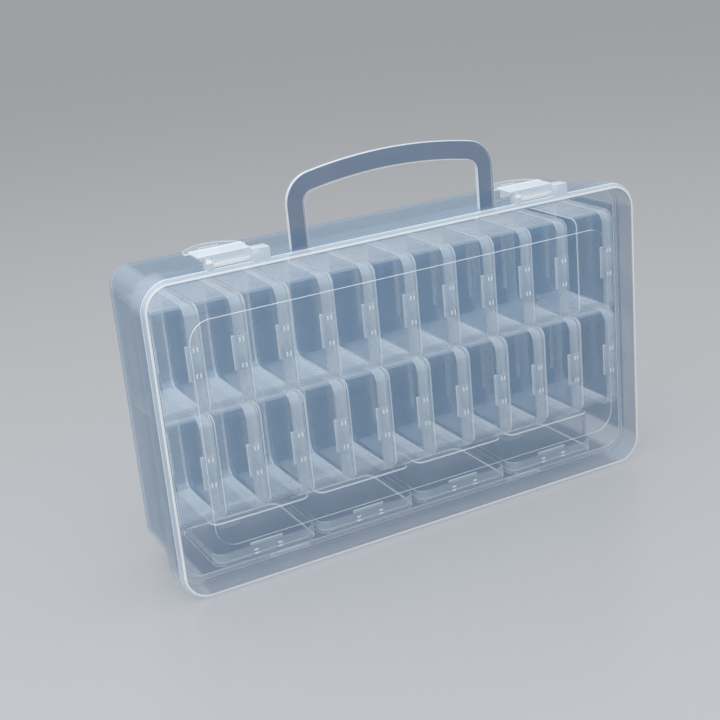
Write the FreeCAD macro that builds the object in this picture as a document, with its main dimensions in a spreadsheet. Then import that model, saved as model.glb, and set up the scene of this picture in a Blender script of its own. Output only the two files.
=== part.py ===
import FreeCAD, Part
import math
import os
import Sketcher

# A latched carrying case of clear plastic that stands upright on its long side.
# It holds 26 thin flip-lid boxes: two rows of standing boxes over one row of flat ones.
# Millimetres. X runs along the case, Z is up, and the lid faces -Y.
# The origin is at the middle of the underside of the whole object.

Vector = FreeCAD.Vector
COLUMNS = 11
FLAT_BOXES = 4

SIZES = {
    # One small box. Its length runs along the clasp, its thickness from closed end to lid.
    "box_length": 46.2,
    "box_depth": 43.0,
    "box_thickness": 19.2,
    "box_corner": 5.0,
    "box_edge": 1.2,
    "box_wall": 1.0,
    "box_lid_wall": 0.8,
    "box_lid_top": 0.9,
    "box_lid_band": 5.6,
    "box_lid_edge": 0.5,
    "box_lid_play": 0.1,
    "clasp_length": 14.0,
    "clasp_thickness": 0.5,
    "clasp_drop": 1.6,
    "catch_thickness": 0.5,
    "catch_height": 0.9,
    "rail_length": 30.0,
    "rail_height": 1.5,
    # How the boxes are packed in the case.
    "box_gap": 0.1,
    "row_slack": 5.2,
    "flat_gap": 1.7,
    "flat_shift": 1.0,
    "headroom": 8.9,
    "box_back_gap": 0.2,
    # The case's back shell.
    "tray_wall": 1.5,
    "tray_edge": 2.6,
    "flange_width": 1.9,
    "flange_depth": 2.2,
    "rim_setback": 0.3,
    "sill": 1.3,
    "foot_length": 10.0,
    "foot_depth": 5.0,
    "foot_setback": 3.0,
    "foot_spacing": 150.0,
    # The case's front shell.
    "case_corner": 12.0,
    "lid_wall": 1.4,
    "lid_play": 0.45,
    "lid_depth": 15.0,
    "lid_space": 7.9,
    "lid_edge": 2.0,
    "panel_rise": 0.6,
    "panel_side_margin": 16.5,
    "panel_bottom_margin": 20.3,
    "panel_top_margin": 18.0,
    "panel_corner": 9.0,
    # The hinge between the two shells, under the case.
    "hinge_spacing": 120.0,
    "knuckle_length": 12.0,
    "knuckle_radius": 1.3,
    "knuckle_gap": 0.3,
    "knuckle_reach": 0.6,
    "knuckle_lift": 0.15,
    "hinge_pin_radius": 0.65,
    "hinge_play": 0.06,
    "lug_length": 3.0,
    # The handle, which slides in two slots in the lid's top wall.
    "handle_width": 94.8,
    "handle_strap": 7.9,
    "handle_thickness": 1.8,
    "handle_rise": 32.3,
    "handle_shift": 1.6,
    "handle_arch": 200.0,
    "handle_corner": 12.5,
    "handle_inner_corner": 5.0,
    "handle_setback": 6.4,
    "slot_play": 0.3,
    "stop_width": 1.6,
    "stop_height": 3.0,
    "stop_gap": 0.2,
    # The two latches on the lid's top wall.
    "latch_spacing": 138.9,
    "latch_shift": 3.85,
    "latch_setback": 2.9,
    "latch_block": 26.0,
    "barrel_lift": 0.2,
    "barrel_radius": 2.3,
    "barrel_gap": 0.3,
    "latch_pin_radius": 0.9,
    "latch_play": 0.06,
    "ear_narrow": 2.4,
    "ear_wide": 7.4,
    "ear_depth": 6.0,
    "ear_height": 4.6,
    "flap_thickness": 1.0,
    "flap_lift": 0.15,
    "flap_overhang": 3.3,
    "flap_depth": 7.1,
    "tab_radius": 12.5,
    "tab_thickness": 0.6,
    "rib_width": 0.8,
    "rib_rise": 0.4,
    "hook_length": 8.0,
    "hook_gap": 2.2,
    "hook_thickness": 1.2,
    "ridge_width": 1.3,
    "ridge_gap": 0.6,
    "ridge_rise": 2.9,
    "ridge_play": 0.3,
    # Extra reach of cutting shapes past the faces they cut.
    "overrun": 1.0,
}

# Worked-out sizes, as formulas on the sizes above.
LAYOUT = {
    "base_inset": "box_lid_wall + box_lid_play",
    "base_height": "box_thickness - box_lid_top - box_lid_play",
    "band_bottom": "box_thickness - box_lid_band",
    "standing_row": f"{COLUMNS} * (box_thickness + box_gap) + row_slack + box_gap",
    "flat_row": f"{FLAT_BOXES} * (box_length + flat_gap) + 2 * (flat_shift + case_corner)",
    "inner_width": "max(standing_row; flat_row)",
    "inner_height": "box_thickness + 2 * box_length + 3 * box_gap + headroom",
    "lid_inset": "lid_wall + lid_play + flange_width",
    "underside": "lid_inset + sill",
    "tray_width": "inner_width + 2 * tray_wall",
    "tray_height": "inner_height + 2 * tray_wall",
    "case_width": "tray_width + 2 * lid_inset",
    "case_height": "tray_height + lid_inset + underside",
    "box_front": "lid_wall + lid_space",
    "mouth": "box_front - rim_setback",
    "case_depth": "box_front + box_depth + box_back_gap + tray_wall",
    "front_y": "(panel_rise - case_depth) / 2",
    "floor_z": "underside + tray_wall",
    "flange_corner": "case_corner - lid_wall - lid_play",
    "tray_corner": "flange_corner - flange_width",
    "hinge_y": "front_y + lid_depth + knuckle_reach + knuckle_radius",
    "hinge_z": "knuckle_radius + knuckle_lift",
    "latch_y": "front_y + latch_setback",
    "latch_z": "case_height + barrel_lift + barrel_radius",
    "flap_z": "latch_z + barrel_radius + flap_lift",
    "leg_bottom": "case_height - lid_wall - stop_gap - stop_height",
    "handle_y": "front_y + handle_setback",
}

doc = FreeCAD.newDocument("organizer")


def make_sheet(name, cells):
    """Writes named cells into a new sheet."""
    sheet = doc.addObject("Spreadsheet::Sheet", name)
    for row, (alias, text) in enumerate(cells.items(), start=1):
        sheet.set(f"A{row}", alias)
        sheet.set(f"B{row}", text)
        sheet.setAlias(f"B{row}", alias)
    return sheet


def bound(formula):
    """Writes a formula on plain names as an expression on the sheets' cells."""
    words = formula
    for mark in "()+-*/;":
        words = words.replace(mark, f" {mark} ")
    named = []
    for word in words.split():
        if word in SIZES:
            word = f"Sizes.{word}"
        elif word in LAYOUT:
            word = f"Layout.{word}"
        named.append(word)
    return " ".join(named).replace("max (", "max(")


sizes_sheet = make_sheet("Sizes", {name: str(size) for name, size in SIZES.items()})
layout_sheet = make_sheet("Layout", {name: "=" + bound(formula) for name, formula in LAYOUT.items()})
doc.recompute()
VALUES = {name: float(sizes_sheet.get(name)) for name in SIZES}
VALUES.update({name: float(layout_sheet.get(name)) for name in LAYOUT})


def number(formula):
    """Works out a formula on the sheets' names, for a sketch's starting shape."""
    cell = "D1"
    layout_sheet.set(cell, "=" + bound(formula))
    layout_sheet.recompute()
    return float(layout_sheet.get(cell))


def place(thing, x="0", y="0", z="0", rotation=None):
    """Ties an object's place to the sheets."""
    if rotation is not None:
        thing.Placement = FreeCAD.Placement(Vector(), rotation)
    thing.setExpression("Placement.Base.x", bound(x))
    thing.setExpression("Placement.Base.y", bound(y))
    thing.setExpression("Placement.Base.z", bound(z))
    return thing


def block(name, size, corner):
    """A box from its size and lowest corner, as formulas."""
    solid = doc.addObject("Part::Box", name)
    for prop, formula in zip(("Length", "Width", "Height"), size):
        solid.setExpression(prop, bound(formula))
    return place(solid, *corner)


ALONG_X = FreeCAD.Rotation(Vector(0, 1, 0), 90)


def rod(name, radius, length, start):
    """A cylinder along X from its start point, as formulas."""
    solid = doc.addObject("Part::Cylinder", name)
    solid.setExpression("Radius", bound(radius))
    solid.setExpression("Height", bound(length))
    return place(solid, *start, rotation=ALONG_X)


def fuse(name, solids):
    whole = doc.addObject("Part::MultiFuse", name)
    whole.Shapes = solids
    return whole


def cut(name, base, tool):
    rest = doc.addObject("Part::Cut", name)
    rest.Base = base
    rest.Tool = tool
    return rest


def new_sketch(body, name, role, offset):
    """A sketch on one of the body's own planes, moved along its normal."""
    plane = [item for item in body.Origin.OriginFeatures if item.Role == role][0]
    sketch = body.newObject("Sketcher::SketchObject", name)
    sketch.AttachmentSupport = (plane, [""])
    sketch.MapMode = "FlatFace"
    sketch.setExpression("AttachmentOffset.Base.z", bound(offset))
    return sketch


def dimension(sketch, label, formula, *constraint):
    """Adds a named dimension and ties it to the sheets."""
    index = sketch.addConstraint(Sketcher.Constraint(*constraint, number(formula)))
    sketch.renameConstraint(index, label)
    sketch.setExpression(f"Constraints.{label}", bound(formula))


# In a constraint, point 1 is where a curve starts, 2 where it ends and 3 its centre.
# Curve -1 is the sketch's own horizontal axis, which starts at its origin.


def rounded_rectangle(sketch, label, left, bottom, width, height, corner):
    """A rectangle with round corners, tied to the sheets."""
    x0, y0, r = number(left), number(bottom), number(corner)
    x1, y1 = x0 + number(width), y0 + number(height)
    corners = [(x1, y0), (x1, y1), (x0, y1), (x0, y0)]
    inward = [(-1, 1), (-1, -1), (1, -1), (1, 1)]
    first = sketch.GeometryCount
    centres = [Vector(x + i * r, y + j * r, 0) for (x, y), (i, j) in zip(corners, inward)]
    for side, centre in enumerate(centres):
        before = centres[side - 1]
        out = Vector(math.sin(side * math.pi / 2), -math.cos(side * math.pi / 2), 0) * r
        sketch.addGeometry(Part.LineSegment(before + out, centre + out))
        turn = (side - 1) * math.pi / 2
        circle = Part.Circle(centre, Vector(0, 0, 1), r)
        sketch.addGeometry(Part.ArcOfCircle(circle, turn, turn + math.pi / 2))
    lines = [first + 2 * side for side in range(4)]
    arcs = [line + 1 for line in lines]
    for side in range(4):
        sketch.addConstraint(Sketcher.Constraint("Tangent", lines[side], 2, arcs[side], 1))
        following = lines[(side + 1) % 4]
        sketch.addConstraint(Sketcher.Constraint("Tangent", arcs[side], 2, following, 1))
        if side > 0:
            sketch.addConstraint(Sketcher.Constraint("Equal", arcs[0], arcs[side]))
    sketch.addConstraint(Sketcher.Constraint("Horizontal", lines[0]))
    sketch.addConstraint(Sketcher.Constraint("Vertical", lines[1]))
    sketch.addConstraint(Sketcher.Constraint("Horizontal", lines[2]))
    sketch.addConstraint(Sketcher.Constraint("Vertical", lines[3]))
    dimension(sketch, label + "_corner", corner, "Radius", arcs[0])
    dimension(sketch, label + "_left", left, "DistanceX", -1, 1, lines[3], 1)
    dimension(sketch, label + "_bottom", bottom, "DistanceY", -1, 1, lines[0], 1)
    dimension(sketch, label + "_width", width, "DistanceX", lines[3], 1, lines[1], 1)
    dimension(sketch, label + "_height", height, "DistanceY", lines[0], 1, lines[2], 1)


def arch(sketch, label, half, bottom, top, bow, corner):
    """A doorway outline with a bowed head and round shoulders, tied to the sheets."""
    side, foot, head = number(half), number(bottom), number(top)
    big, small = number(bow), number(corner)
    hub = head - big
    reach = side - small
    lift = hub + math.sqrt((big - small) ** 2 - reach**2)
    lean = math.atan2(lift - hub, reach)
    up = Vector(0, 0, 1)
    sill = sketch.addGeometry(Part.LineSegment(Vector(-side, foot, 0), Vector(side, foot, 0)))
    right = sketch.addGeometry(Part.LineSegment(Vector(side, foot, 0), Vector(side, lift, 0)))
    right_round = Part.Circle(Vector(reach, lift, 0), up, small)
    right_turn = sketch.addGeometry(Part.ArcOfCircle(right_round, 0, lean))
    bow_round = Part.Circle(Vector(0, hub, 0), up, big)
    crown = sketch.addGeometry(Part.ArcOfCircle(bow_round, lean, math.pi - lean))
    left_round = Part.Circle(Vector(-reach, lift, 0), up, small)
    left_turn = sketch.addGeometry(Part.ArcOfCircle(left_round, math.pi - lean, math.pi))
    left = sketch.addGeometry(Part.LineSegment(Vector(-side, lift, 0), Vector(-side, foot, 0)))
    sketch.addConstraint(Sketcher.Constraint("Coincident", sill, 2, right, 1))
    sketch.addConstraint(Sketcher.Constraint("Tangent", right, 2, right_turn, 1))
    sketch.addConstraint(Sketcher.Constraint("Tangent", right_turn, 2, crown, 1))
    sketch.addConstraint(Sketcher.Constraint("Tangent", crown, 2, left_turn, 1))
    sketch.addConstraint(Sketcher.Constraint("Tangent", left_turn, 2, left, 1))
    sketch.addConstraint(Sketcher.Constraint("Coincident", left, 2, sill, 1))
    sketch.addConstraint(Sketcher.Constraint("Horizontal", sill))
    sketch.addConstraint(Sketcher.Constraint("Vertical", right))
    sketch.addConstraint(Sketcher.Constraint("Vertical", left))
    sketch.addConstraint(Sketcher.Constraint("Equal", right_turn, left_turn))
    dimension(sketch, label + "_corner", corner, "Radius", right_turn)
    dimension(sketch, label + "_bow", bow, "Radius", crown)
    dimension(sketch, label + "_right", half, "DistanceX", -1, 1, right, 1)
    dimension(sketch, label + "_left", "0 - " + half, "DistanceX", -1, 1, left, 2)
    dimension(sketch, label + "_foot", bottom, "DistanceY", -1, 1, right, 1)
    dimension(sketch, label + "_hub", f"{top} - {bow}", "DistanceY", -1, 1, crown, 3)


def pad(body, name, sketch, length, reverse=False):
    feature = body.newObject("PartDesign::Pad", name)
    feature.Profile = sketch
    feature.Reversed = reverse
    feature.setExpression("Length", bound(length))
    return feature


def pocket(body, name, sketch, length, reverse=False):
    feature = body.newObject("PartDesign::Pocket", name)
    feature.Profile = sketch
    feature.Reversed = reverse
    feature.setExpression("Length", bound(length))
    return feature


def round_face(body, name, feature, direction, radius):
    """Rounds all edges of the flat face that lies furthest along a direction."""
    doc.recompute()
    faces = feature.Shape.Faces
    reach = [face.CenterOfMass.dot(direction) for face in faces]
    outermost = reach.index(max(reach)) + 1
    fillet = body.newObject("PartDesign::Fillet", name)
    fillet.Base = (feature, [f"Face{outermost}"])
    fillet.setExpression("Radius", bound(radius))
    return fillet


def centred(sketch, label, width, bottom, height, corner):
    rounded_rectangle(sketch, label, f"0 - ({width}) / 2", bottom, width, height, corner)


def make_box_base():
    """The deep half of a small box: a thin-walled cup with a catch and a hinge rail."""
    body = doc.addObject("PartDesign::Body", "box_base_shell")
    outline = new_sketch(body, "base_outline", "XY_Plane", "0")
    length = "box_length - 2 * base_inset"
    depth = "box_depth - 2 * base_inset"
    centred(outline, "base", length, "base_inset", depth, "box_corner - base_inset")
    outside = pad(body, "base_outside", outline, "base_height")
    rounded = round_face(body, "base_rounding", outside, Vector(0, 0, -1), "box_edge")
    hollow = new_sketch(body, "base_hollow", "XY_Plane", "box_wall")
    cavity_length = "box_length - 2 * base_inset - 2 * box_wall"
    cavity_depth = "box_depth - 2 * base_inset - 2 * box_wall"
    cavity_corner = "box_corner - base_inset - box_wall"
    centred(hollow, "cavity", cavity_length, "base_inset + box_wall", cavity_depth, cavity_corner)
    inside = pocket(body, "base_inside", hollow, "base_height", reverse=True)
    body.Tip = inside
    seat = "band_bottom - box_lid_play"
    catch = block(
        "base_catch",
        ("clasp_length", "catch_thickness + box_wall / 2", "catch_height"),
        ("0 - clasp_length / 2", "base_inset - catch_thickness", f"{seat} - catch_height"),
    )
    rail = block(
        "base_rail",
        ("rail_length", "base_inset + box_wall / 2", "rail_height"),
        ("0 - rail_length / 2", "box_depth - base_inset - box_wall / 2", f"{seat} - rail_height"),
    )
    return fuse("box_base", [body, catch, rail])


def make_box_lid():
    """The shallow half of a small box: a cap with a clasp tab on its front."""
    body = doc.addObject("PartDesign::Body", "box_lid_shell")
    outline = new_sketch(body, "cap_outline", "XY_Plane", "band_bottom")
    centred(outline, "cap", "box_length", "0", "box_depth", "box_corner")
    outside = pad(body, "cap_outside", outline, "box_lid_band")
    round_face(body, "cap_rounding", outside, Vector(0, 0, 1), "box_lid_edge")
    hollow = new_sketch(body, "cap_hollow", "XY_Plane", "box_thickness - box_lid_top")
    hollow_length = "box_length - 2 * box_lid_wall"
    hollow_depth = "box_depth - 2 * box_lid_wall"
    hollow_corner = "box_corner - box_lid_wall"
    centred(hollow, "cap_inside", hollow_length, "box_lid_wall", hollow_depth, hollow_corner)
    body.Tip = pocket(body, "cap_inside", hollow, "box_lid_band")
    clasp = block(
        "cap_clasp",
        ("clasp_length", "clasp_thickness + box_lid_wall / 2", "box_lid_band - box_lid_edge + clasp_drop"),
        ("0 - clasp_length / 2", "0 - clasp_thickness", "band_bottom - clasp_drop"),
    )
    relief = block(
        "clasp_relief",
        ("clasp_length + 2 * overrun", "box_lid_wall", "clasp_drop + overrun"),
        ("0 - clasp_length / 2 - overrun", "0", "band_bottom - clasp_drop - overrun"),
    )
    return fuse("box_lid", [body, cut("clasp_tab", clasp, relief)])


def repeat(master, label, x, y, z, rotation):
    """Another copy of a master piece, in its own place."""
    copy = doc.addObject("PartDesign::Body", label)
    shape = doc.addObject("PartDesign::FeatureBase", label + "_shape")
    shape.BaseFeature = master
    copy.Group = [shape]
    copy.Tip = shape
    return place(copy, x, y, z, rotation)


LYING = FreeCAD.Rotation(Vector(0, 1, 0), 180)


def make_boxes():
    """All the small boxes: rows of standing ones and the flat ones under them."""
    halves = {"base": make_box_base(), "lid": make_box_lid()}
    pieces = []
    front = "front_y + box_front"
    lower_z = "floor_z + box_thickness + 2 * box_gap + box_length / 2"
    upper_z = f"{lower_z} + box_length + box_gap"
    left = "0 - inner_width / 2 + box_gap"
    spread = f"(inner_width - 2 * box_gap - box_thickness) / {COLUMNS - 1}"
    last = "inner_width / 2 - box_gap - box_thickness"
    flat_pitch = "(box_length + flat_gap)"
    middle = (FLAT_BOXES - 1) / 2
    for half, master in halves.items():
        for column in range(COLUMNS):
            name = f"box_{column + 1:02d}_{half}"
            # The upper row stands close together, with its slack before the last box.
            packed = last if column == COLUMNS - 1 else f"{left} + {column} * (box_thickness + box_gap)"
            pieces.append(repeat(master, "upper_" + name, packed, front, upper_z, ALONG_X))
            # The lower row shares its slack out evenly.
            even = f"{left} + {column} * {spread}"
            pieces.append(repeat(master, "lower_" + name, even, front, lower_z, ALONG_X))
        for column in range(FLAT_BOXES):
            name = f"flat_box_{column + 1:02d}_{half}"
            x = f"({column - middle}) * {flat_pitch} - flat_shift"
            z = "floor_z + box_gap + box_thickness"
            pieces.append(repeat(master, name, x, front, z, LYING))
    return pieces


def depth_plane(depth):
    """Where a sketch on the front plane lies, for a depth behind the lid's front face."""
    return f"0 - (front_y + {depth})"


def make_tray():
    """The back shell: a deep tub with a rim flange, hinge lugs, feet and latch ridges."""
    body = doc.addObject("PartDesign::Body", "tray_shell")
    outline = new_sketch(body, "tray_outline", "XZ_Plane", depth_plane("mouth"))
    centred(outline, "tray", "tray_width", "underside", "tray_height", "tray_corner")
    tub = pad(body, "tray_outside", outline, "case_depth - mouth", reverse=True)
    round_face(body, "tray_rounding", tub, Vector(0, 1, 0), "tray_edge")
    rim = new_sketch(body, "tray_rim", "XZ_Plane", depth_plane("mouth"))
    rim_width = "tray_width + 2 * flange_width"
    rim_height = "tray_height + 2 * flange_width"
    centred(rim, "rim", rim_width, "underside - flange_width", rim_height, "flange_corner")
    pad(body, "tray_flange", rim, "flange_depth", reverse=True)
    hollow = new_sketch(body, "tray_hollow", "XZ_Plane", depth_plane("mouth"))
    centred(hollow, "inner", "inner_width", "floor_z", "inner_height", "tray_corner - tray_wall")
    body.Tip = pocket(body, "tray_inside", hollow, "case_depth - mouth - tray_wall")
    pieces = [body]
    sunk = "tray_wall / 2"
    for side, word in ((-1, "left"), (1, "right")):
        middle = f"{side} * hinge_spacing / 2"
        outer = "(knuckle_length / 2 + knuckle_gap + lug_length)"
        pieces.append(
            rod(f"hinge_pin_{word}", "hinge_pin_radius", f"2 * {outer}", (f"{middle} - {outer}", "hinge_y", "hinge_z"))
        )
        for lug, start in (("a", f"{middle} - {outer}"), ("b", f"{middle} + {outer} - lug_length")):
            pieces.append(
                rod(f"lug_{word}_{lug}", "knuckle_radius", "lug_length", (start, "hinge_y", "hinge_z"))
            )
            pieces.append(
                block(
                    f"lug_web_{word}_{lug}",
                    ("lug_length", "2 * knuckle_radius", f"underside + {sunk} - hinge_z"),
                    (start, "hinge_y - knuckle_radius", "hinge_z"),
                )
            )
        pieces.append(
            block(
                f"foot_{word}",
                ("foot_length", "foot_depth", f"underside + {sunk}"),
                (
                    f"{side} * foot_spacing / 2 - foot_length / 2",
                    "front_y + case_depth - foot_setback - foot_depth",
                    "0",
                ),
            )
        )
        pieces.append(
            block(
                f"latch_ridge_{word}",
                ("latch_block", "ridge_width", f"ridge_rise + {sunk}"),
                (
                    f"{side} * latch_spacing / 2 - latch_shift - latch_block / 2",
                    "front_y + lid_depth + ridge_gap",
                    f"case_height - lid_inset - {sunk}",
                ),
            )
        )
    return fuse("case_tray", pieces)


def make_lid():
    """The front shell: a shallow cap with a raised panel, handle slots, latch ears and knuckles."""
    body = doc.addObject("PartDesign::Body", "lid_shell")
    outline = new_sketch(body, "lid_outline", "XZ_Plane", depth_plane("0"))
    centred(outline, "lid", "case_width", "0", "case_height", "case_corner")
    outside = pad(body, "lid_outside", outline, "lid_depth", reverse=True)
    round_face(body, "lid_rounding", outside, Vector(0, -1, 0), "lid_edge")
    panel = new_sketch(body, "lid_panel", "XZ_Plane", depth_plane("lid_wall / 2"))
    panel_width = "case_width - 2 * panel_side_margin"
    panel_height = "case_height - panel_bottom_margin - panel_top_margin"
    centred(panel, "panel", panel_width, "panel_bottom_margin", panel_height, "panel_corner")
    pad(body, "lid_panel_rise", panel, "panel_rise + lid_wall / 2")
    hollow = new_sketch(body, "lid_hollow", "XZ_Plane", depth_plane("lid_wall"))
    hollow_width = "case_width - 2 * lid_wall"
    hollow_height = "case_height - 2 * lid_wall"
    centred(hollow, "hollow", hollow_width, "lid_wall", hollow_height, "case_corner - lid_wall")
    body.Tip = pocket(body, "lid_inside", hollow, "lid_depth")
    pieces = [body]
    holes = []
    for side, word in ((-1, "left"), (1, "right")):
        slot_width = "(handle_strap + 2 * slot_play)"
        slot_middle = f"{side} * (handle_width - handle_strap) / 2 - handle_shift"
        holes.append(
            block(
                f"handle_slot_{word}",
                (slot_width, "handle_thickness + 2 * slot_play", "lid_wall + 2 * overrun"),
                (
                    f"{slot_middle} - {slot_width} / 2",
                    "handle_y - slot_play",
                    "case_height - lid_wall - overrun",
                ),
            )
        )
        start = f"{side} * latch_spacing / 2 - latch_shift - latch_block / 2"
        sunk = "lid_wall / 2"
        pieces.append(
            block(
                f"ear_narrow_{word}",
                ("ear_narrow", "2 * barrel_radius", f"latch_z - case_height + {sunk}"),
                (start, "latch_y - barrel_radius", f"case_height - {sunk}"),
            )
        )
        pieces.append(
            rod(f"ear_narrow_top_{word}", "barrel_radius", "ear_narrow", (start, "latch_y", "latch_z"))
        )
        pieces.append(
            block(
                f"ear_wide_{word}",
                ("ear_wide", "ear_depth", f"ear_height + {sunk}"),
                (f"{start} + latch_block - ear_wide", "latch_y - barrel_radius", f"case_height - {sunk}"),
            )
        )
        bore = "latch_pin_radius + latch_play"
        holes.append(
            rod(
                f"latch_bore_{word}",
                bore,
                "latch_block - ear_wide / 2 + overrun",
                (f"{start} - overrun", "latch_y", "latch_z"),
            )
        )
        knuckle = f"{side} * hinge_spacing / 2 - knuckle_length / 2"
        pieces.append(
            rod(f"knuckle_{word}", "knuckle_radius", "knuckle_length", (knuckle, "hinge_y", "hinge_z"))
        )
        pieces.append(
            block(
                f"knuckle_web_{word}",
                ("knuckle_length", "hinge_y - front_y - lid_depth + lid_wall", "lid_wall / 2"),
                (knuckle, "front_y + lid_depth - lid_wall", "lid_wall / 4"),
            )
        )
        holes.append(
            rod(
                f"knuckle_bore_{word}",
                "hinge_pin_radius + hinge_play",
                "knuckle_length + 2 * overrun",
                (f"{knuckle} - overrun", "hinge_y", "hinge_z"),
            )
        )
    return cut("case_lid", fuse("lid_solid", pieces), fuse("lid_holes", holes))


def make_handle():
    """A flat bowed strap with two legs, which stop lugs keep in the lid's slots."""
    body = place(doc.addObject("PartDesign::Body", "handle_strap_shape"), "0 - handle_shift")
    plane = "0 - handle_y"
    top = "case_height + handle_rise"
    outer = new_sketch(body, "handle_outer", "XZ_Plane", plane)
    arch(outer, "outer", "handle_width / 2", "leg_bottom", top, "handle_arch", "handle_corner")
    pad(body, "handle_solid", outer, "handle_thickness", reverse=True)
    inner = new_sketch(body, "handle_inner", "XZ_Plane", plane)
    inner_half = "(handle_width / 2 - handle_strap)"
    inner_top = "(case_height + handle_rise - handle_strap)"
    inner_bow = "(handle_arch - handle_strap)"
    arch(inner, "inner", inner_half, "leg_bottom - overrun", inner_top, inner_bow, "handle_inner_corner")
    body.Tip = pocket(body, "handle_opening", inner, "handle_thickness + overrun")
    pieces = [body]
    for side, word in ((-1, "left"), (1, "right")):
        middle = f"{side} * (handle_width - handle_strap) / 2 - handle_shift"
        width = "(handle_strap + 2 * stop_width)"
        pieces.append(
            block(
                f"handle_stop_{word}",
                (width, "handle_thickness", "stop_height"),
                (f"{middle} - {width} / 2", "handle_y", "leg_bottom"),
            )
        )
    return fuse("handle", pieces)


def make_latch(side, word):
    """A latch flap: a barrel with stub pins, a plate, a half-moon tab and a hook."""
    start = f"{side} * latch_spacing / 2 - latch_shift - latch_block / 2"
    barrel_start = f"{start} + ear_narrow + barrel_gap"
    barrel_length = "(latch_block - ear_narrow - ear_wide - 2 * barrel_gap)"
    flap_start = f"{start} - flap_overhang"
    flap_width = "(flap_overhang + latch_block - ear_wide - barrel_gap)"
    barrel = rod(f"barrel_{word}", "barrel_radius", barrel_length, (barrel_start, "latch_y", "latch_z"))
    pins = rod(
        f"latch_pins_{word}",
        "latch_pin_radius",
        "latch_block - ear_wide / 2 - barrel_gap",
        (start, "latch_y", "latch_z"),
    )
    web = block(
        f"flap_web_{word}",
        (barrel_length, "2 * barrel_radius", "barrel_radius + flap_lift + flap_thickness / 2"),
        (barrel_start, "latch_y - barrel_radius", "latch_z"),
    )
    plate = block(
        f"flap_plate_{word}",
        (flap_width, "flap_depth + barrel_radius", "flap_thickness"),
        (flap_start, "latch_y - barrel_radius", "flap_z"),
    )
    tab_middle = f"{flap_start} + {flap_width} / 2"
    disc = doc.addObject("Part::Cylinder", f"tab_disc_{word}")
    disc.Angle = 180
    disc.setExpression("Radius", bound("tab_radius"))
    disc.setExpression("Height", bound("tab_thickness"))
    place(disc, tab_middle, "latch_y + flap_depth", "flap_z")
    rib = block(
        f"flap_rib_{word}",
        (flap_width, "rib_width", "rib_rise + flap_thickness / 2"),
        (flap_start, "latch_y + flap_depth - rib_width / 2", "flap_z + flap_thickness / 2"),
    )
    hook_bottom = "(case_height - lid_inset + ridge_rise + ridge_play)"
    hook = block(
        f"flap_hook_{word}",
        ("hook_length", "hook_thickness", f"flap_z + tab_thickness / 2 - {hook_bottom}"),
        (f"{tab_middle} - hook_length / 2", "front_y + lid_depth + hook_gap", hook_bottom),
    )
    return fuse(f"latch_{word}", [barrel, pins, web, plate, disc, rib, hook])


def write(pieces):
    """Checks every object and writes each piece to its own file."""
    doc.recompute()
    for item in doc.Objects:
        if "Invalid" in item.State or "Error" in item.State:
            raise RuntimeError(f"{item.Label} failed: {item.State}")
    for piece in pieces:
        if piece.Shape.isNull() or not piece.Shape.isValid():
            raise RuntimeError(f"{piece.Label} has no valid shape")
        if len(piece.Shape.Solids) != 1:
            raise RuntimeError(f"{piece.Label} has {len(piece.Shape.Solids)} solids")
    os.makedirs("parts", exist_ok=True)
    for piece in pieces:
        piece.Shape.exportStep(f"parts/{piece.Label}.step")


pieces = [make_tray(), make_lid(), make_handle(), make_latch(-1, "left"), make_latch(1, "right")]
pieces += make_boxes()
write(pieces)
for alias in ("case_width", "case_height", "case_depth"):
    print(alias, round(VALUES[alias], 2))
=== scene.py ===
"""A latched carrying case of clear plastic, packed with thin flip-lid boxes, in a plain studio."""

import math

import bmesh
import bpy
from mathutils import Matrix, Vector


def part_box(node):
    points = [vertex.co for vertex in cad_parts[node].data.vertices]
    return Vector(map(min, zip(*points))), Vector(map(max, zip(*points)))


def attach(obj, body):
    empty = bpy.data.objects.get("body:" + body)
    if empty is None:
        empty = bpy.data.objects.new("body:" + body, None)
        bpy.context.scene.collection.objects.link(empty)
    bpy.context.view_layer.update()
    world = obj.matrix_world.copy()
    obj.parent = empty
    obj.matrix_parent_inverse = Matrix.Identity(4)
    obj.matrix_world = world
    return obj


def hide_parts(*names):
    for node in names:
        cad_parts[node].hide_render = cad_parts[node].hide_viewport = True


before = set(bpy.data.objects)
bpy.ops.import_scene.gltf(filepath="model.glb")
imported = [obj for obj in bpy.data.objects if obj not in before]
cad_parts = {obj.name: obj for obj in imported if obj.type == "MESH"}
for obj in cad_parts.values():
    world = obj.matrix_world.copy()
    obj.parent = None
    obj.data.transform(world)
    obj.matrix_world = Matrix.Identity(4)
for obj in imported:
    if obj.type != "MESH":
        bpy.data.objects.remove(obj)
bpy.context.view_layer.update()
scene = bpy.context.scene
MM = 0.001

# How many boxes stand in a row, and how many lie flat under the two rows.
COLUMNS = 11
FLAT_BOXES = 4

# A face's place in its mesh's list of looks: the axis that it faces, a rounded edge, a rounded corner,
# and two places that each piece uses for looks of its own.
X, Y, Z, EDGE, CORNER, MILKY, LINE = range(7)

# Fine rounding of the sharp edges of each piece.
CASE_BEVEL = 0.35 * MM
HANDLE_BEVEL = 0.30 * MM
LATCH_BEVEL = 0.18 * MM
BASE_BEVEL = 0.36 * MM
CAP_BEVEL = 0.42 * MM
BEVEL_STEPS = 2

# How a mesh is cleaned and its faces are told apart.
WELD_DISTANCE = 0.002 * MM
FLAT_ANGLE = math.radians(0.3)
SHARP_ANGLE = math.radians(28.0)
SMOOTH_ANGLE = math.radians(30.0)
SQUARE_ON = 0.9995
TILTED = 0.03

# Where the looks change on the case.
EAR_HEIGHT = 4.7 * MM
PLATE_DEPTH = 9.4 * MM
PANEL_RISE = 0.6 * MM
LID_ROUND = 2.0 * MM
LID_CREST = (0.3, 0.9)
RIM_DEPTH = 20.0 * MM
FOOT_HEIGHT = 3.0 * MM
TRAY_ROUND = 2.6 * MM

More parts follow.
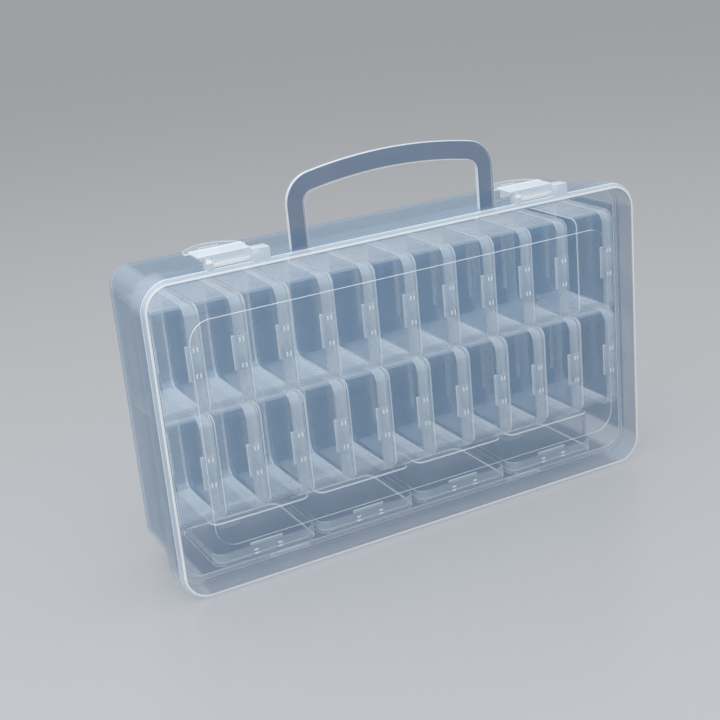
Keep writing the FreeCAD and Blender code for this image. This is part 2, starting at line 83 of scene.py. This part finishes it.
# Where the looks change on a box, and the ticks on its clasp.
BASE_ROUND = 1.3 * MM
BASE_CREST = (0.4, 0.85)
RAIL_DEPTH = 0.8 * MM
SKIRT_DEPTH = 0.2 * MM
CLASP_DEPTH = 0.6 * MM
TICK_SIZE = (0.6 * MM, 0.3 * MM, 1.8 * MM)
TICK_SETBACK = 3.0 * MM
TICK_GAP = 0.8 * MM
TICK_SPACING = 5.4 * MM
LYING_DOWN = Matrix.Rotation(math.radians(90), 4, "Y")

# Moulded plastic: noise in repeats per metre, and how gloss and glance vary; the noise is the plastic's
# uneven haze, and its crests also carry painted streaks of refracted light.
CLOUDS = (45.0, 45.0, 45.0)
STREAKS = (95.0, 95.0, 9.0)
NOISE_DETAIL = 2.0
NOISE_LOW = 0.3
NOISE_HIGH = 0.7
PLASTIC_IOR = 1.49
ROUGHNESS = 0.15
ROUGHNESS_SWING = 0.4
GLANCE_POWER = 2.5
CREST_POWER = 3.0
LAMP_SHARE = 0.985

# The studio, in metres and watts: each lamp's name, place, size and power.
FLOOR_REACH = 12.0
FLOOR_GREY = (0.52, 0.53, 0.55)
FLOOR_ROUGHNESS = 0.25
SKY_WHITE = (0.96, 0.98, 1.0)
SKY_STRENGTH = 0.48
LAMP_TARGET = Vector((0.0, 0.0, 0.07))
LAMPS = (
    ("top_softbox", (-0.1, -0.1, 1.1), (1.2, 1.0), 6.0),
    ("left_softbox", (-1.0, -0.5, 0.7), (0.8, 0.8), 4.0),
    ("front_softbox", (-0.1, -1.2, 0.9), (1.0, 0.8), 4.0),
)

# The photograph's own view, worked out from the case's straight edges.
EYE = Vector((-0.24732, -0.47544, 0.25633))
FORWARD = Vector((0.41628, 0.84824, -0.32741))
LEAN = math.radians(-5.476)
SENSOR_WIDTH = 36.0
LENS = 65.505
NEAREST = 0.01


# Materials


def colour(red, green, blue):
    return (red, green, blue, 1.0)


def maths(tree, operation, first, second, clamp=False):
    """Adds a Math node on two sockets or numbers."""
    node = tree.nodes.new("ShaderNodeMath")
    node.operation = operation
    node.use_clamp = clamp
    for socket, value in zip(node.inputs, (first, second)):
        if isinstance(value, bpy.types.NodeSocket):
            tree.links.new(value, socket)
        else:
            socket.default_value = value
    return node.outputs[0]


def spread(tree, source, low, high, start=0.0, end=1.0):
    """Maps a socket's start to end onto low to high."""
    node = tree.nodes.new("ShaderNodeMapRange")
    tree.links.new(source, node.inputs["Value"])
    node.inputs["From Min"].default_value = start
    node.inputs["From Max"].default_value = end
    node.inputs["To Min"].default_value = low
    node.inputs["To Max"].default_value = high
    return node.outputs["Result"]


def noise(tree, repeats):
    """Noise from 0 to 1 on the piece's own coordinates, in repeats per metre along each axis."""
    place = tree.nodes.new("ShaderNodeTexCoord")
    mapping = tree.nodes.new("ShaderNodeMapping")
    mapping.inputs["Scale"].default_value = repeats
    tree.links.new(place.outputs["Object"], mapping.inputs["Vector"])
    texture = tree.nodes.new("ShaderNodeTexNoise")
    texture.inputs["Scale"].default_value = 1.0
    texture.inputs["Detail"].default_value = NOISE_DETAIL
    tree.links.new(mapping.outputs["Vector"], texture.inputs["Vector"])
    return spread(tree, texture.outputs["Fac"], 0.0, 1.0, NOISE_LOW, NOISE_HIGH)


def blended(tree, share, first, second):
    """Mixes two colours by a socket."""
    mix = tree.nodes.new("ShaderNodeMix")
    mix.data_type = "RGBA"
    tree.links.new(share, mix.inputs["Factor"])
    ends = [socket for socket in mix.inputs if socket.type == "RGBA"]
    ends[0].default_value = colour(*first)
    ends[1].default_value = colour(*second)
    return [socket for socket in mix.outputs if socket.type == "RGBA"][0]


def let_lamps_through(tree, shader):
    """Lamps shine through at a steady share, which keeps the inside bright."""
    path = tree.nodes.new("ShaderNodeLightPath")
    through = tree.nodes.new("ShaderNodeBsdfTransparent")
    through.inputs["Color"].default_value = colour(LAMP_SHARE, LAMP_SHARE, LAMP_SHARE)
    chosen = tree.nodes.new("ShaderNodeMixShader")
    tree.links.new(path.outputs["Is Shadow Ray"], chosen.inputs["Fac"])
    tree.links.new(shader.outputs["BSDF"], chosen.inputs[1])
    tree.links.new(through.outputs["BSDF"], chosen.inputs[2])
    tree.links.new(chosen.outputs["Shader"], tree.nodes["Material Output"].inputs["Surface"])


def plastic(name, clear, rim, see, rim_see, cloud=0.0, grain=CLOUDS, shine=0.0):
    """Clear moulded plastic: hazy face on, whiter and denser at a glancing angle, with painted glints on
    the crests of its haze.
    """
    material = bpy.data.materials.new(name)
    material.use_nodes = True
    tree = material.node_tree
    shader = tree.nodes["Principled BSDF"]
    shader.inputs["IOR"].default_value = PLASTIC_IOR
    shader.inputs["Roughness"].default_value = ROUGHNESS
    weight = tree.nodes.new("ShaderNodeLayerWeight")
    glance = maths(tree, "POWER", weight.outputs["Facing"], GLANCE_POWER, clamp=True)
    body = see
    pale = glance
    if cloud > 0:
        haze = noise(tree, grain)
        body = spread(tree, haze, see * (1.0 - cloud), see * (1.0 + cloud))
        least_rough = ROUGHNESS * (1.0 - ROUGHNESS_SWING)
        most_rough = ROUGHNESS * (1.0 + ROUGHNESS_SWING)
        tree.links.new(spread(tree, haze, least_rough, most_rough), shader.inputs["Roughness"])
        # Painted light: the crests of the haze turn paler, as painted streaks of refracted light.
        crest = maths(tree, "MULTIPLY", maths(tree, "POWER", haze, CREST_POWER), shine)
        pale = maths(tree, "ADD", glance, crest, clamp=True)
    extra = maths(tree, "MULTIPLY", glance, rim_see - see)
    alpha = maths(tree, "ADD", extra, body, clamp=True)
    tree.links.new(alpha, shader.inputs["Alpha"])
    if clear == rim:
        shader.inputs["Base Color"].default_value = colour(*clear)
    else:
        tree.links.new(blended(tree, pale, clear, rim), shader.inputs["Base Color"])
    let_lamps_through(tree, shader)
    return material


DEEP_BLUE = (0.16, 0.36, 0.57)
BACK_BLUE = (0.18, 0.38, 0.59)
SIDE_BLUE = (0.17, 0.30, 0.45)
FLOOR_BLUE = (0.12, 0.20, 0.31)
GREY_BLUE = (0.19, 0.31, 0.46)
PALE_BLUE = (0.39, 0.52, 0.65)
ICE = (0.68, 0.77, 0.85)
WHITE = (0.94, 0.97, 0.99)
HANDLE_BLUE = (0.12, 0.20, 0.33)

# Each look: its colour face on and at a glance, then how dense it is face on and at a glance.
# The white, dense looks of rounded edges and lines (case_edge, panel_line, tray_edge, box_edge,
# cap_edge, latch_edge, handle_edge) are partly the thicker plastic seen edge on and partly painted
# highlights.
case_front = plastic("case_front", GREY_BLUE, ICE, 0.05, 0.45)
case_side = plastic("case_side", GREY_BLUE, PALE_BLUE, 0.24, 0.50, cloud=0.2)
case_edge = plastic("case_edge", ICE, WHITE, 0.48, 0.80)
case_corner = plastic("case_corner", PALE_BLUE, ICE, 0.20, 0.55)
panel_line = plastic("panel_line", WHITE, WHITE, 0.80, 0.97)
# The tray's back and sides get faint painted glints on the crests of their haze.
tray_back = plastic("tray_back", BACK_BLUE, PALE_BLUE, 0.44, 0.70, cloud=0.10, shine=0.1)
tray_side = plastic("tray_side", SIDE_BLUE, PALE_BLUE, 0.48, 0.65, cloud=0.12, shine=0.15)
tray_floor = plastic("tray_floor", FLOOR_BLUE, PALE_BLUE, 0.36, 0.50, cloud=0.15)
tray_rim = plastic("tray_rim", PALE_BLUE, ICE, 0.22, 0.50)
tray_edge = plastic("tray_edge", WHITE, WHITE, 0.55, 0.90)
foot_wall = plastic("foot_wall", GREY_BLUE, ICE, 0.08, 0.30)
# End walls and cap faces carry vertical streaks: the plastic's uneven haze, with painted streaks of
# refracted light on the crests.
end_wall = plastic("end_wall", DEEP_BLUE, PALE_BLUE, 0.12, 0.30, cloud=0.5, grain=STREAKS, shine=0.5)
flat_wall = plastic("flat_wall", FLOOR_BLUE, PALE_BLUE, 0.09, 0.22)
front_wall = plastic("front_wall", GREY_BLUE, ICE, 0.04, 0.40)
# The level walls of a standing base are pale as painted light falling from above.
shelf_wall_painted_light = plastic("shelf_wall_painted_light", ICE, WHITE, 0.32, 0.56, cloud=0.3)
box_edge = plastic("box_edge", WHITE, WHITE, 0.55, 0.92)
box_corner = plastic("box_corner", GREY_BLUE, ICE, 0.14, 0.60)
cap_face = plastic("cap_face", DEEP_BLUE, ICE, 0.20, 0.36, cloud=0.9, grain=STREAKS, shine=0.8)
cap_band = plastic("cap_band", ICE, WHITE, 0.34, 0.60, cloud=0.45)
cap_edge = plastic("cap_edge", WHITE, WHITE, 0.85, 0.98)
cap_corner = plastic("cap_corner", ICE, WHITE, 0.36, 0.72, cloud=0.45)
flat_corner = plastic("flat_corner", ICE, WHITE, 0.26, 0.70)
flat_band = plastic("flat_band", ICE, WHITE, 0.20, 0.50, cloud=0.3)
latch_milky = plastic("latch_milky", ICE, WHITE, 0.68, 0.90)
latch_tab = plastic("latch_tab", GREY_BLUE, ICE, 0.25, 0.55)
latch_edge = plastic("latch_edge", WHITE, WHITE, 0.75, 0.95)
handle_face = plastic("handle_face", HANDLE_BLUE, PALE_BLUE, 0.54, 0.70, cloud=0.1)
handle_edge = plastic("handle_edge", WHITE, WHITE, 0.70, 0.95)

# The looks of each piece, in the order of the faces' places.
LID_LOOKS = (case_side, case_front, case_side, case_edge, case_corner, latch_milky, panel_line)
TRAY_LOOKS = (tray_side, tray_back, tray_floor, tray_edge, case_corner, tray_rim, foot_wall)
HANDLE_LOOKS = (handle_edge, handle_face, handle_edge, handle_edge, handle_edge)
LATCH_LOOKS = (latch_edge, latch_edge, latch_tab, latch_edge, latch_edge, latch_milky)
# Standing bases give their level walls the shelf look, which is painted light from above.
BASE_LOOKS = (end_wall, front_wall, shelf_wall_painted_light, box_edge, box_corner)
FLAT_BASE_LOOKS = (flat_wall, front_wall, front_wall, box_edge, box_corner)
CAP_LOOKS = (cap_face, cap_band, cap_band, cap_edge, cap_corner)
FLAT_CAP_LOOKS = (flat_wall, flat_band, front_wall, cap_edge, flat_corner)


# Pieces


def refined(node, width, thin_axis):
    """A copy of a CAD node's mesh with fine rounded edges, its faces sorted by where they look."""
    shape = bmesh.new()
    shape.from_mesh(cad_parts[node].data)
    bmesh.ops.remove_doubles(shape, verts=shape.verts, dist=WELD_DISTANCE)
    bmesh.ops.dissolve_limit(shape, angle_limit=FLAT_ANGLE, verts=shape.verts, edges=shape.edges)
    for face in shape.faces:
        face.material_index = CORNER
    inner = [edge for edge in shape.edges if len(edge.link_faces) == 2]
    # The rounded edges take the EDGE look: partly thicker plastic seen edge on, partly painted
    # highlights.
    bmesh.ops.bevel(
        shape,
        geom=[edge for edge in inner if edge.calc_face_angle() > SHARP_ANGLE],
        offset=width,
        offset_type="OFFSET",
        segments=BEVEL_STEPS,
        profile=0.5,
        affect="EDGES",
        clamp_overlap=True,
        material=EDGE,
    )
    shape.normal_update()
    for face in shape.faces:
        face.smooth = True
        if face.material_index == EDGE:
            continue
        size = [abs(part) for part in face.normal]
        if max(size) > SQUARE_ON:
            face.material_index = size.index(max(size))
        elif size[thin_axis] > TILTED:
            face.material_index = EDGE
    return shape


def finish_mesh(name, shape, materials):
    mesh = bpy.data.meshes.new(name)
    shape.to_mesh(mesh)
    shape.free()
    mesh.set_sharp_from_angle(angle=SMOOTH_ANGLE)
    for material in materials:
        mesh.materials.append(material)
    return mesh


def piece(name, mesh, node, body, turn=None, shift=None):
    """A piece that stands for one CAD node and rides on its body."""
    thing = bpy.data.objects.new(name, mesh)
    scene.collection.objects.link(thing)
    if turn is not None:
        thing.rotation_euler = turn.to_euler()
    if shift is not None:
        thing.location = shift
    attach(thing, body)
    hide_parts(node)


def off_crest(part, crest):
    """Whether a face of a rounding lies outside the part of it that catches the light."""
    return not crest[0] < abs(part) < crest[1]


def dress_lid():
    """The front shell: milky latch ears, and painted highlight lines round the raised panel and the rim.
    """
    lid = refined("case_lid", CASE_BEVEL, Y)
    low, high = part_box("case_lid")
    shell_top = high.z - EAR_HEIGHT
    panel_back = low.y + PANEL_RISE
    rim_back = panel_back + LID_ROUND
    # The raised panel's step and parts of the rim's rounding get the white panel_line look, as painted
    # highlights.
    for face in lid.faces:
        middle = face.calc_center_median()
        if middle.z > shell_top and face.material_index != EDGE:
            face.material_index = MILKY
        elif middle.y < panel_back and face.material_index != Y:
            face.material_index = LINE
        elif middle.y < rim_back and face.material_index == EDGE and off_crest(face.normal.y, LID_CREST):
            face.material_index = LINE
    mesh = finish_mesh("case_lid_shell", lid, LID_LOOKS)
    piece("case_lid_shell", mesh, "case_lid", "lid")


def dress_tray():
    """The back shell: a paler flange in front, clear feet and lugs, and a soft rounding at the back."""
    tray = refined("case_tray", CASE_BEVEL, Y)
    low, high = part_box("case_tray")
    flange_back = low.y + RIM_DEPTH
    underside = low.z + FOOT_HEIGHT
    back_round = high.y - TRAY_ROUND
    for face in tray.faces:
        middle = face.calc_center_median()
        if middle.y < flange_back and face.material_index == Y:
            face.material_index = MILKY
        if middle.z < underside and face.material_index != EDGE:
            face.material_index = LINE
        if middle.y > back_round and face.material_index == EDGE:
            face.material_index = CORNER
    mesh = finish_mesh("case_tray_shell", tray, TRAY_LOOKS)
    piece("case_tray_shell", mesh, "case_tray", "tray")


def dress_handle():
    strap = refined("handle", HANDLE_BEVEL, Y)
    mesh = finish_mesh("handle_strap", strap, HANDLE_LOOKS)
    piece("handle_strap", mesh, "handle", "handle")


def dress_latch(node):
    """A latch flap: a milky plate in front, a clear finger tab behind it."""
    flap = refined(node, LATCH_BEVEL, Z)
    tab_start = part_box(node)[0].y + PLATE_DEPTH
    for face in flap.faces:
        if face.material_index != EDGE and face.calc_center_median().y < tab_start:
            face.material_index = MILKY
    mesh = finish_mesh(f"{node}_flap", flap, LATCH_LOOKS)
    piece(f"{node}_flap", mesh, node, node)


def light_up_rail(shape, high):
    """The hinge rail behind a base is thick and shows as a bright bar."""
    for face in shape.faces:
        if face.calc_center_median().y > high.y - RAIL_DEPTH:
            face.material_index = EDGE


def thin_out_rounding(shape, low):
    """Only the crest of the rounding at a base's closed end keeps the white edge look, as a painted
    highlight line.
    """
    for face in shape.faces:
        near_end = face.calc_center_median().x < low.x + BASE_ROUND
        if near_end and face.material_index == EDGE and off_crest(face.normal.x, BASE_CREST):
            face.material_index = CORNER


def paint_skirt_highlight(shape, low):
    """The free edge of a cap's skirt is painted white as a highlight line."""
    for face in shape.faces:
        if face.calc_center_median().x < low.x + SKIRT_DEPTH and face.material_index == X:
            face.material_index = EDGE


def add_clasp_marks(shape, low, high):
    """Short ticks near both ends of a clasp tab, painted white as glints where they catch the light."""
    middle = (low.z + high.z) / 2
    for face in shape.faces:
        if face.calc_center_median().y < low.y + CLASP_DEPTH and face.material_index == EDGE:
            face.material_index = CORNER
    for side in (-1, 1):
        for across in (-1, 1):
            made = bmesh.ops.create_cube(shape, size=1.0)["verts"]
            bmesh.ops.scale(shape, verts=made, vec=TICK_SIZE)
            x = high.x - TICK_SETBACK + across * TICK_GAP
            spot = Vector((x, low.y, middle + side * TICK_SPACING))
            bmesh.ops.translate(shape, verts=made, vec=spot)
            for face in {face for vertex in made for face in vertex.link_faces}:
                face.material_index = EDGE


def dress_boxes():
    """One mesh for every base and one for every cap, set down at each box's own place."""
    halves = {
        "base": (BASE_BEVEL, BASE_LOOKS, FLAT_BASE_LOOKS, "box_base_plastic"),
        "lid": (CAP_BEVEL, CAP_LOOKS, FLAT_CAP_LOOKS, "box_lid_plastic"),
    }
    rows = {"upper": COLUMNS, "lower": COLUMNS, "flat": FLAT_BOXES}
    for half, (width, looks, flat_looks, slot) in halves.items():
        model = f"upper_box_01_{half}"
        shape = refined(model, width, X)
        low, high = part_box(model)
        if half == "base":
            light_up_rail(shape, high)
            thin_out_rounding(shape, low)
        else:
            paint_skirt_highlight(shape, low)
            add_clasp_marks(shape, low, high)
        bmesh.ops.translate(shape, verts=shape.verts, vec=-(low + high) / 2)
        flat_mesh = finish_mesh(f"flat_box_{half}", shape.copy(), flat_looks)
        mesh = finish_mesh(f"box_{half}", shape, looks)
        for row, count in rows.items():
            for column in range(count):
                body = f"{row}_box_{column + 1:02d}"
                node = f"{body}_{half}"
                low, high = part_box(node)
                middle = (low + high) / 2
                if row == "flat":
                    piece(f"{node}_shell", flat_mesh, node, body, LYING_DOWN, middle)
                else:
                    piece(f"{node}_shell", mesh, node, body, None, middle)


# Studio


def add_floor():
    reach = FLOOR_REACH
    mesh = bpy.data.meshes.new("floor")
    corners = [(-reach, -reach, 0), (reach, -reach, 0), (reach, reach, 0), (-reach, reach, 0)]
    mesh.from_pydata(corners, [], [(0, 1, 2, 3)])
    ground = bpy.data.objects.new("floor", mesh)
    scene.collection.objects.link(ground)
    material = bpy.data.materials.new("pale_floor")
    material.use_nodes = True
    shader = material.node_tree.nodes["Principled BSDF"]
    shader.inputs["Base Color"].default_value = colour(*FLOOR_GREY)
    shader.inputs["Roughness"].default_value = FLOOR_ROUGHNESS
    mesh.materials.append(material)


def add_sky():
    world = bpy.data.worlds.new("studio")
    scene.world = world
    world.use_nodes = True
    backdrop = world.node_tree.nodes["Background"]
    backdrop.inputs["Color"].default_value = colour(*SKY_WHITE)
    backdrop.inputs["Strength"].default_value = SKY_STRENGTH


def add_lamp(name, place, size, power):
    data = bpy.data.lights.new(name, "AREA")
    data.shape = "RECTANGLE"
    data.size, data.size_y = size
    data.energy = power
    light = bpy.data.objects.new(name, data)
    scene.collection.objects.link(light)
    light.location = place
    aim = LAMP_TARGET - Vector(place)
    light.rotation_euler = aim.to_track_quat("-Z", "Y").to_euler()


def add_camera():
    forward = FORWARD.normalized()
    level = forward.cross(Vector((0, 0, 1))).normalized()
    rise = level.cross(forward)
    right = level * math.cos(LEAN) + rise * math.sin(LEAN)
    up = right.cross(forward)
    data = bpy.data.cameras.new("camera")
    data.sensor_width = SENSOR_WIDTH
    data.lens = LENS
    data.clip_start = NEAREST
    viewer = bpy.data.objects.new("camera", data)
    scene.collection.objects.link(viewer)
    axes = Matrix((right, up, -forward)).transposed().to_4x4()
    viewer.matrix_world = Matrix.Translation(EYE) @ axes
    scene.camera = viewer


dress_lid()
dress_tray()
dress_handle()
dress_latch("latch_left")
dress_latch("latch_right")
dress_boxes()
add_floor()
add_sky()
for lamp in LAMPS:
    add_lamp(*lamp)
add_camera()

# Many clear walls stand behind one another, so rays pass through more of them than usual.
scene.view_settings.view_transform = "Standard"
scene.cycles.transparent_max_bounces = 40
scene.cycles.denoising_prefilter = "ACCURATE"
scene.cycles.max_bounces = 4
scene.cycles.diffuse_bounces = 2
scene.cycles.glossy_bounces = 2
